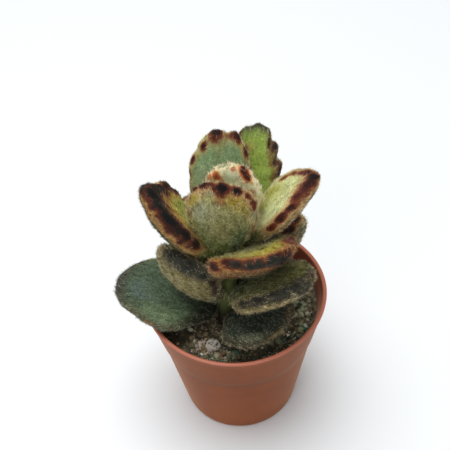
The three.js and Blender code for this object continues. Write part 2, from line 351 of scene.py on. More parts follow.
# The pot, with the sizes of the model. The collar's step is softened over stepHeight. The mouth is a little
# uneven: each wave has its count round the pot, its depth and its start. The outside has its rows under, at
# and over the step. Heights for the colours: where the foot's painted light, as if thrown up from the floor,
# gives way, where the crease's painted shade grows and fades about the collar's foot, and where the lip's
# begins under the rim.
pot = dict(
    height=49, lipRadius=27.5, lipHeight=1.2, lipWidth=1.2, lipOverhang=0.2, lipCurve=0.45,
    collarFoot=33.4, collarFootRadius=24.3, collarStep=0.35, stepHeight=4.6,
    footRadius=18.7, footEdge=1, footRing=2.4, pad=4, lift=1.1, wall=0.9,
    holes=6, holeRadius=2.2, holeCircle=10, waves=[(3, 0.06, 0.7), (5, 0.04, 2)],
    sides=192, outsideRows=(22, 18, 12), lipRows=9, insideRows=30, plateRows=6, plateSteps=10,
    floorLightFades=(4, 26), creaseGrows=(-3, -1), creaseFades=(1, 2.6), lipGrows=(-0.75, -0.25),
    # foot is a paler colour for the lower wall: painted light, as thrown up from the floor
    body=tint((128, 67, 35)), foot=tint((142, 77, 42)), lip=tint((182, 108, 84)),
    inside=tint((112, 54, 40)), worn=tint((205, 150, 124)),
)

# The pot's raised floor: the heights of its two faces, and how far out it starts and ends
potFloor = dict(
    under=pot["lift"], over=pot["lift"] + pot["wall"], near=pot["pad"] + pot["lift"] / 2,
    far=pot["footRadius"] - pot["footEdge"] - pot["footRing"] - pot["lift"] / 2,
)


def innerRadius(height):  # straight from the foot to the collar's foot, and from there to the lip
    bend = pot["collarFootRadius"] - pot["collarStep"] - pot["wall"]
    radii = [pot["footRadius"] - pot["wall"], bend, pot["lipRadius"] - pot["lipWidth"]]
    return np.interp(height, [0, pot["collarFoot"], pot["height"]], radii)


# The plastic is painted paler toward the foot, as light thrown up from the floor, has darker clouds, a
# painted shade in the crease at the collar's foot and worn streaks, and is darker inside and smoother and
# paler on the lip
def potLook():
    look = Look("potPlastic")
    high = look.height()
    cloud = look.noise(9, 3)
    streak = look.noise(1.2, 4, 0.65)
    # painted light: the wall is paler toward the foot, as lit from the floor below
    body = look.mix(high.ramp(*pot["floorLightFades"]), pot["foot"], pot["body"])
    colour = look.mix(cloud.ramp(0.35, 0.65) * 0.5, body, look.times(body, (0.78, 0.78, 0.78)))
    aboveStep = high - pot["collarFoot"]
    # painted shade: a darker band in the crease at the collar's foot
    crease = aboveStep.ramp(*pot["creaseGrows"]) - aboveStep.ramp(*pot["creaseFades"])
    colour = look.mix(crease * 0.7, colour, look.times(body, (0.6, 0.6, 0.6)))
    colour = look.mix(streak.ramp(0.58, 0.8) * 0.12, colour, pot["worn"])
    inner = look.attribute("inside")
    colour = look.mix(inner, colour, pot["inside"])
    lip = (high - pot["height"]).ramp(*pot["lipGrows"])
    colour = look.mix(lip * (1 - inner * 0.7), colour, pot["lip"])
    return look.finish(colour, 0.5 + streak * 0.16 - lip * 0.22, 0.12, {
        "Sheen Weight": 0.35,
        "Sheen Roughness": 0.3,
        "Sheen Tint": (1, 0.6, 0.38),
        "Coat Weight": lip * 0.5,
        "Coat Roughness": 0.28,
        "Subsurface Weight": 0.06,
        "Subsurface Radius": (0.003, 0.0014, 0.0009),
        "Normal": look.bump(streak + cloud * 0.5, 0.05, 0.35),
    })


# Each of the pot's surfaces comes as a grid, and a 1 for each of its rows that the inside's colour covers.
# The wall is a profile of radii and heights turned about Z: up the outside, over the lip and down the inside.
def potWall():
    foot, lip, bend, rim = pot["footRadius"], pot["lipRadius"], pot["collarFoot"], pot["height"]
    lipFoot = rim - pot["lipHeight"]
    ring = potFloor["far"] + pot["lift"] / 2
    outside = [(potFloor["far"], pot["lift"]), (ring, 0), (ring + 0.3, 0), (foot - pot["footEdge"], 0),
               (foot - 0.35, 0.25), (foot, 0.75), (foot + 0.2, 1.6)]
    parts = [(2.6, bend - 3), (bend - 2.4, bend + 2.6), (bend + 3.2, lipFoot - 0.5)]
    rise = np.concatenate([np.linspace(*part, rows) for part, rows in zip(parts, pot["outsideRows"])])
    narrow = np.interp(rise, [0, bend], [foot, pot["collarFootRadius"] - pot["collarStep"]])
    narrow += np.maximum(rise - bend, 0) * (pot["collarFootRadius"] - foot) / bend
    wide = np.interp(rise, [bend, lipFoot], [pot["collarFootRadius"], lip - pot["lipOverhang"] - 0.1])
    half = pot["stepHeight"] / 2
    outside += zip(blend(narrow, wide, soft(rise, bend - half, bend + half)), rise)
    outside += [(lip - 0.25, lipFoot - 0.12), (lip - 0.06, lipFoot + 0.1)]
    arc = np.linspace(0, np.pi, pot["lipRows"])
    over = zip(lip - pot["lipWidth"] / 2 * (1 - np.cos(arc)), rim - pot["lipCurve"] * (1 - np.sin(arc)))
    top = potFloor["over"]
    fall = np.linspace(rim - 2 * pot["lipCurve"], top + 1.4, pot["insideRows"])
    inside = [*zip(innerRadius(fall), fall), (innerRadius(top) - 0.3, top + 0.4),
              (innerRadius(top) - 1.1, top), (potFloor["far"], top)]
    radius, height = np.array([*outside, *over, *inside]).T[..., None]
    turn = circle(pot["sides"])
    wave = sum(depth * np.sin(count * turn + start) for count, depth, start in pot["waves"])
    grid = turned(radius + wave * (height / rim) ** 3, height, turn)[::-1]  # backwards, to face outwards
    return grid, np.arange(len(grid)) < len(inside)


# A sixth of the floor is a plate with a hole. Its rings go from the sector's outline to the hole's edge,
# under the plate and back over it.
def potPlate(sector):
    near, far = potFloor["near"], potFloor["far"]
    whole = 2 * np.pi / pot["holes"]
    steps = pot["sides"] // pot["holes"]
    middle = sector * whole
    angles = middle + (np.arange(steps + 1) / steps - 0.5) * whole
    radii = np.linspace(far, near, pot["plateSteps"] + 1)
    edge = [(far, a) for a in angles[:-1]] + [(r, angles[-1]) for r in radii[:-1]]
    edge += [(near, a) for a in angles[:0:-1]] + [(r, angles[0]) for r in radii[:0:-1]]
    radius, angle = np.array(edge).T
    outline = np.stack([radius * np.cos(angle), radius * np.sin(angle)], -1)
    centre = pot["holeCircle"] * np.array([math.cos(middle), math.sin(middle)])
    hole = centre + pot["holeRadius"] * unit(outline - centre)
    rings = blend(outline, hole, np.linspace(0, 1, pot["plateRows"])[:, None, None])
    under, over = (np.insert(rings, 2, potFloor[side], axis=-1) for side in ("under", "over"))
    return np.concatenate([under, over[::-1]]), np.repeat([0, 1], len(rings))


def potPads():  # the round pad in the floor's middle, as seen from below and from inside
    near, pad, turn = potFloor["near"], pot["pad"], circle(pot["sides"])
    under = turned([near, pad, pad - 0.4, pad / 2, 0], [pot["lift"], 0, 0, 0, 0], turn)
    over = turned([0, pad / 2, pad, near], [potFloor["over"]] * 4, turn)
    return [(under, np.zeros(len(under))), (over, np.ones(len(over)))]


def makePot():
    points, faces, inner, count = [], [], [], 0
    for grid, within in [potWall(), *(potPlate(sector) for sector in range(pot["holes"])), *potPads()]:
        rows, columns = grid.shape[:2]
        points.append(grid.reshape(-1, 3))
        faces.append(stripFaces(rows, columns, count))
        inner.append(np.repeat(within, columns))
        count += rows * columns
    thing = makeObject("potShell", np.concatenate(points), faces, potLook())
    setLayer(thing, "inside", np.concatenate(inner)[:, None])
    seams = thing.modifiers.new("seams", "WELD")
    seams.merge_threshold = 0.00002
    install(thing, "pot", "pot")


makePot()
print("pot made")

# The soil is a plug whose top is lumpy: broad swells and a grain as in the model, then lumps of four sizes.
# It settles by up to a fifth of a millimetre from settledFrom, a share of the radius, to the pot's wall.
soil = dict(
    level=42.8, swell=0.35, swellLengths=(20, 23), grain=0.25, grainLengths=(5.7, 4.8),
    lump=0.55, lumpSize=2.4, settledFrom=0.8, rings=100, sides=320,
    gap=0.3, sideHeights=(38, 30, 15, 4), bottom=2.3, bottomInset=1.6,
    dark=tint((70, 66, 52)), brown=tint((148, 132, 102)), moss=tint((38, 48, 36)), pale=tint((226, 222, 198)),
)


def soilTop(x, y):
    swell = np.sin(2 * np.pi * x / soil["swellLengths"][0]) * np.sin(2 * np.pi * y / soil["swellLengths"][1])
    first, second = soil["grainLengths"]
    grain = np.sin(2 * np.pi * (x + y) / first) * np.sin(2 * np.pi * (x - y) / second)
    return soil["level"] + soil["swell"] * swell + soil["grain"] * grain


def soilSurface(x, y):
    lump = roughness(np.stack([x, y, 0 * x], -1), soil["lumpSize"], 4, 5)[..., 0]
    out = np.hypot(x, y) / innerRadius(soil["level"])
    return soilTop(x, y) + soil["lump"] * lump - np.clip(out - soil["settledFrom"], 0, 1)


def soilLook():
    look = Look("pottingSoil")
    clod = look.noise(1.6, 5, 0.7)
    fleck = look.noise(0.35, 3, 0.6)
    damp = look.noise(5, 2)
    colour = look.mix(clod.ramp(0.42, 0.72), soil["dark"], soil["brown"])
    colour = look.mix(damp.ramp(0.5, 0.7) * 0.4, colour, soil["moss"])
    colour = look.mix(fleck.ramp(0.66, 0.74) * 0.6, colour, soil["pale"])
    return look.finish(colour, 0.82 + fleck * 0.15, 0.35, {"Normal": look.bump(clod + fleck * 0.6, 0.3, 0.8)})


def makeSoil():  # rings from the middle out over the top, then down the side to the bottom
    turn = circle(soil["sides"])
    radii = np.linspace(0.25, 1, soil["rings"]) ** 0.8 * (innerRadius(soil["level"]) - soil["gap"])
    top = turned(radii, 0 * radii, turn)
    top[..., 2] = soilSurface(top[..., 0], top[..., 1])
    reach = [*(innerRadius(soil["sideHeights"]) - soil["gap"]), innerRadius(2) - soil["bottomInset"]]
    side = turned(reach, [*soil["sideHeights"], soil["bottom"]], turn)
    install(makeBall("soilBed", np.concatenate([top, side]), soilLook()), "soil", "soil")


makeSoil()
print("soil made")

# The stem leans from its root at the left front to the pot's middle, as in the model, and greens upward out
# of a painted shade, near black, low down under the leaves
stem = dict(
    bottom=34, top=76, radius=2.9, tipRadius=2.1, root=(-3.4, -7.1), crown=(0, -2.4), leans=(38, 80),
    rows=70, sides=48, swell=0.09, swellSize=2.6,
    greens=(50, 59), young=tint((104, 114, 60)), shade=tint((72, 82, 44)), old=tint((36, 32, 20)),
)


def stemAxis(height):
    lean = soft(height, *stem["leans"])
    x, y = (blend(root, crown, lean) for root, crown in zip(stem["root"], stem["crown"]))
    return np.stack([x, y, height], -1)


def stemLook():
    look = Look("stemSkin")
    cloud = look.noise(2.5, 4)
    fine = look.noise(0.4, 3)
    colour = look.mix(cloud.ramp(0.35, 0.7), stem["young"], stem["shade"])
    # painted shade: below the heights of greens the stem darkens to near black, where the leaves shade it
    colour = look.mix(1 - (look.height() + cloud * 8).ramp(*stem["greens"]), colour, stem["old"])
    return look.finish(colour, 0.7, 0.3, {"Normal": look.bump(fine + cloud, 0.25, 0.7)})


def makeStem():  # rings about the axis, narrower toward the top and swollen a little by noise
    height = np.linspace(stem["top"], stem["bottom"], stem["rows"])
    share = (height - stem["bottom"]) / (stem["top"] - stem["bottom"])
    radius = blend(stem["radius"], stem["tipRadius"], share)[:, None]
    axis = stemAxis(height)[:, None]
    spokes = turned(radius, 0 * radius, circle(stem["sides"]))
    swell = stem["swell"] * roughness(axis + spokes, stem["swellSize"], 3, 4)
    install(makeBall("stemTube", axis + spokes * (1 + swell), stemLook()), "stem", "stem")


makeStem()

# The stones and chips on the soil, as in the model: the middle, half sizes, turn about Z, how lumpy they are
# and the size of the lumps. The colours are their own and that of their hollows.
pebbles = [
    dict(node="perlite_lump", slot="perlite", at=(-7.5, -16), half=(2.1, 2, 1.7), turn=20, lumpy=0.2,
         lump=1.3, colour=(196, 188, 176), hollow=(96, 92, 84)),
    dict(node="perlite_shard", slot="perlite", at=(-10.9, -15), half=(1.1, 1.5, 0.9), turn=-30, lumpy=0.3,
         lump=1.1, colour=(206, 188, 172), hollow=(120, 98, 84)),
    dict(node="perlite_grain_left", slot="perlite", at=(-13, -14), half=(0.8, 0.7, 0.6), turn=50, lumpy=0.3,
         lump=0.7, colour=(200, 192, 172), hollow=(120, 110, 90)),
    dict(node="perlite_grain_front", slot="perlite", at=(-11.9, -17.5), half=(0.9, 0.7, 0.6), turn=10,
         lumpy=0.3, lump=0.7, colour=(204, 184, 164), hollow=(120, 100, 84)),
    dict(node="perlite_grain_right", slot="perlite", at=(20.3, -11.2), half=(0.7, 0.7, 0.6), turn=0,
         lumpy=0.25, lump=0.7, colour=(190, 196, 180), hollow=(110, 120, 104)),
    dict(node="bark_chip_front", slot="bark", at=(-4.8, -19.4), half=(1.4, 0.8, 0.6), turn=15, lumpy=0.3,
         lump=0.8, colour=(132, 104, 80), hollow=(56, 42, 34)),
    dict(node="bark_chip_right", slot="bark", at=(22.6, -5.6), half=(0.8, 1.8, 0.6), turn=-12, lumpy=0.3,
         lump=0.8, colour=(104, 84, 62), hollow=(46, 38, 30)),
    dict(node="moss_clump", slot="moss", at=(19, -4.2), half=(1.9, 2.2, 1.4), turn=30, lumpy=0.45, lump=1.1,
         colour=(148, 150, 122), hollow=(52, 58, 38)),
]
pebbleForm = dict(rows=36, columns=72, raised=0.3)


# A stone's colour gives way to that of its hollows where the lumps that shape it lie low
def pebbleLook(stone):
    look = Look(stone["node"] + "_skin")
    pits = look.noise(0.45, 3, 0.6)
    cloud = look.noise(1.1, 3)
    low = look.attribute("hollow") + (pits - 0.5) * 1.2
    hollow = tint(stone["hollow"])
    colour = look.mix(low.ramp(0.35, 0.85), tint(stone["colour"]), hollow)
    colour = look.mix(cloud.ramp(0.5, 0.75) * 0.3, colour, hollow)
    return look.finish(colour, 0.85, 0.3, {"Normal": look.bump(pits * 0.7 + cloud * 0.3, 0.3, 0.9)})


def spherePoints(rows, columns):  # unit vectors, row by row from the top down
    down = np.pi * (np.arange(rows) + 1) / (rows + 1)
    return turned(np.sin(down), np.cos(down), circle(columns))


def makePebbles():  # a stone is a ball pushed in and out by noise, stretched to its half sizes and turned
    for stone in pebbles:
        ball = spherePoints(pebbleForm["rows"], pebbleForm["columns"])
        half = np.array(stone["half"])
        lump = roughness(ball * half + 7 * half[0], stone["lump"], 4, len(stone["node"]))
        x, y, z = np.moveaxis(ball * (1 + stone["lumpy"] * lump) * half, -1, 0)
        turn = math.radians(stone["turn"])
        height = soilTop(*stone["at"]) + pebbleForm["raised"]
        grid = np.stack([x * math.cos(turn) - y * math.sin(turn) + stone["at"][0],
                         x * math.sin(turn) + y * math.cos(turn) + stone["at"][1], z + height], -1)
        thing = makeBall(stone["node"] + "_body", grid, pebbleLook(stone))
        setLayer(thing, "hollow", np.concatenate([(0.35 - lump).reshape(-1, 1), [[0.3], [0.3]]]))
        install(thing, stone["slot"], stone["node"])


makePebbles()
print("stem and stones made")

# What lies loose on the soil. Each kind is a crowd of small lumps: how many, their sizes from small to large,
# how flat they are, the grid of one, and how far they sink in. Heaps gather where the soil is lighter: place,
# reach each way, share of the crowd and the colours there. Fibres are thin bent threads. Both keep a gap to
# the pot's wall.
debris = dict(
    kinds=[
        dict(name="soilClods", count=300, size=(0.4, 1.1), flat=0.75, grid=(5, 9), sunk=0.1, smooth=True),
        dict(name="soilCrumbs", count=3300, size=(0.14, 0.42), flat=0.8, grid=(2, 5), sunk=0.0, smooth=False),
    ],
    rough=0.2, margin=0.07, gap=0.9,
    heaps=[
        dict(at=(19.2, -5), reach=(2.6, 3.6), share=0.1, tones=("olive", "tan", "pale", "earth")),
        dict(at=(-10, -16), reach=(2.6, 2.2), share=0.09, tones=("pale", "tan", "chalk", "earth")),
        dict(at=(-3, -19.8), reach=(6, 1.6), share=0.1, tones=("pale", "olive", "sea", "tan", "earth")),
        dict(at=(15, -15), reach=(4, 2.5), share=0.05, tones=("sea", "chalk", "tan", "dark", "earth")),
    ],
    tones=dict(dark=(68, 64, 50), earth=(134, 118, 88), tan=(182, 162, 128), olive=(140, 142, 108),
               pale=(196, 194, 170), sea=(86, 118, 96), chalk=(226, 222, 208), red=(126, 78, 60)),
    common=dict(dark=0.26, earth=0.3, olive=0.14, tan=0.12, sea=0.05, pale=0.1, red=0.03),
    fibres=110, fibreGrid=(6, 3), fibreLength=(1.2, 3.8), fibreWidth=0.13, fibreGap=0.6,
    fibreTones=("tan", "pale", "olive", "earth"),
)


def debrisTones(names):
    return np.array([tint(debris["tones"][name]) for name in names])


def insidePot(x, y, gap):  # places on the soil, drawn in to a gap from the pot's wall where they lie past it
    out = np.maximum(np.hypot(x, y) / (innerRadius(soil["level"]) - gap), 1)
    return x / out, y / out


def debrisPlaces(count, dice):  # places on the soil and a colour for each
    radius = (innerRadius(soil["level"]) - debris["gap"]) * np.sqrt(dice.random(count))
    turn = 2 * np.pi * dice.random(count)
    x, y = radius * np.cos(turn), radius * np.sin(turn)
    names = dice.choice(list(debris["common"]), count, p=list(debris["common"].values()))
    begin = 0
    for heap in debris["heaps"]:
        many = int(count * heap["share"])
        part = slice(begin, begin + many)
        off = dice.normal(size=(2, many)) / 2
        x[part] = heap["at"][0] + heap["reach"][0] * off[0]
        y[part] = heap["at"][1] + heap["reach"][1] * off[1]
        names[part] = dice.choice(heap["tones"], many)
        begin += many
    return *insidePot(x, y, debris["gap"]), debrisTones(names) * between(dice, count, 0.7, 1.3)


def debrisLook():
    look = Look("looseSoil")
    tone = look.attribute("tone", "Color")
    grain = look.noise(0.3, 3, 0.6)
    colour = look.mix(grain.ramp(0.45, 0.7) * 0.7, tone, look.times(tone, (0.4, 0.38, 0.33)))
    return look.finish(colour, 0.85, 0.35, {"Normal": look.bump(grain, 0.15, 0.8)})


def scatter(name, points, grid, tones, material, smooth):  # a crowd of balls on the soil
    faces = ballFaces(*grid)
    corners = blend(debris["margin"], 1 - debris["margin"], ballMap(*grid))
    maps = np.split(corners, [faces[0].size])
    install(makeCrowd(name, points, faces, maps, tones, material, smooth), "soil")


# Each lump is a ball with its points pushed in and out, stretched, turned any way and flattened
def makeLumps(kind, dice, material):
    count = kind["count"]
    ball = ballPoints(spherePoints(*kind["grid"]))
    ball[-2:] = [[0, 0, 1], [0, 0, -1]]
    x, y, tones = debrisPlaces(count, dice)
    low, high = kind["size"]
    size = low * (high / low) ** between(dice, count, 0, 1, 1.6)
    half = size[..., None] * (0.75 + 0.5 * dice.random((count, 1, 3))) / 1.1
    turning = np.linalg.qr(dice.normal(size=(count, 3, 3)))[0]
    turning = turning * np.sign(np.linalg.det(turning))[:, None, None]
    shape = ball * (1 + debris["rough"] * dice.normal(size=(count, len(ball), 1))) * half
    shape = np.einsum("nij,nkj->nki", turning, shape) * (1, 1, kind["flat"])
    height = soilSurface(x, y) + (kind["flat"] - kind["sunk"]) * 0.6 * size[:, 0]
    points = shape + np.stack([x, y, height], -1)[:, None]
    scatter(kind["name"], points, kind["grid"], tones, material, kind["smooth"])


# A fibre is a bent tube of rings of three points, drawn to a point at both ends
def makeFibres(dice, material):
    count = debris["fibres"]
    x, y, _ = debrisPlaces(count, dice)
    length = between(dice, count, *debris["fibreLength"], 2)
    heading = between(dice, count, 0, 2 * np.pi)
    bend = dice.normal(size=(count, 1)) * 0.9
    rows, columns = debris["fibreGrid"]
    share = np.linspace(-0.5, 0.5, rows)
    angle = heading + bend * share
    x = x[:, None] + length * share * np.cos(angle)
    y = y[:, None] + length * share * np.sin(angle)
    x, y = insidePot(x, y, debris["fibreGap"])
    z = soilSurface(x, y) + 0.3 + between(dice, count, 0, 0.5) * (1 + 4 * share**2)
    spine = np.stack([x, y, z], -1)
    along = unit(np.gradient(spine, axis=1))
    side = unit(np.cross(along, [0, 0, 1]))
    over = np.cross(side, along)
    around = circle(columns)[:, None]
    thick = debris["fibreWidth"] / 2 * (1 - 0.7 * np.abs(2 * share[:, None, None]) ** 3)
    ring = spine[:, :, None] + thick * (np.cos(around) * side[:, :, None] + np.sin(around) * over[:, :, None])
    ends = np.stack([spine[:, 0] - along[:, 0] * 0.05, spine[:, -1] + along[:, -1] * 0.05], 1)
    points = np.concatenate([ring.reshape(count, -1, 3), ends], 1)
    tones = debrisTones(dice.choice(debris["fibreTones"], count)) * between(dice, count, 0.6, 1.2)
    scatter("soilFibres", points, (rows, columns), tones, material, True)


def makeDebris():
    dice = np.random.default_rng(11)
    material = debrisLook()
    for kind in debris["kinds"]:
        makeLumps(kind, dice, material)
    makeFibres(dice, material)


makeDebris()
print("loose soil made")

# What every leaf shares. The first group is the model's own. Then the finer surface: its grid, the width of a
# tooth in degrees of the outline and its height against the model's, how far noise swells it, and two noises
# that make the spots ragged. Last the places where the face's colour, the lower face's and the root's painted
# shade and light end.
leafForm = dict(
    neck=0.38, growth=1.4, widest=0.6, tipFrom=0.45, blunt=2.4, rootCap=0.06, heart=0.55,
    square=0.62, rootThickness=0.74, cupFrom=0.62, toothFade=0.15,
    round=168, layers=50, toothWidth=8, toothScale=1.6, toothStep=22.5, ripple=0.18, rippleSize=3.2,
    ragged=0.2, raggedSize=1.7, rays=0.22, rayWidth=6, rayLength=0.12,
    faceEnds=(12, 52), underEnds=(-80, -52), rootShadeAndLightEnds=(0.08, 0.38),
)

# The felt: hairs to a square millimetre, their length, width at the root, how deep the root is sunk, how far
# they lean any way and toward the leaf's tip, the share of pale ones and how much longer they are, and how
# far the fringe takes its own colour and is longer. Streaks have their size and how far they are drawn out
# along the leaf, how strong they are in the hairs' colours and how far they gather the pale ones. Over a spot
# the pale ones thin out between two depths in it, each hair's depth being astray a little.
felt = dict(density=8.0, length=0.8, width=0.13, sunk=0.05, wild=0.7, combed=0.7, pale=0.48, paleLength=1.5,
            fringe=0.5, longer=0.25, streakSize=0.6, drawn=0.7, streak=1.1, clump=2.2,
            astray=0.15, thins=(-0.3, 0.2))
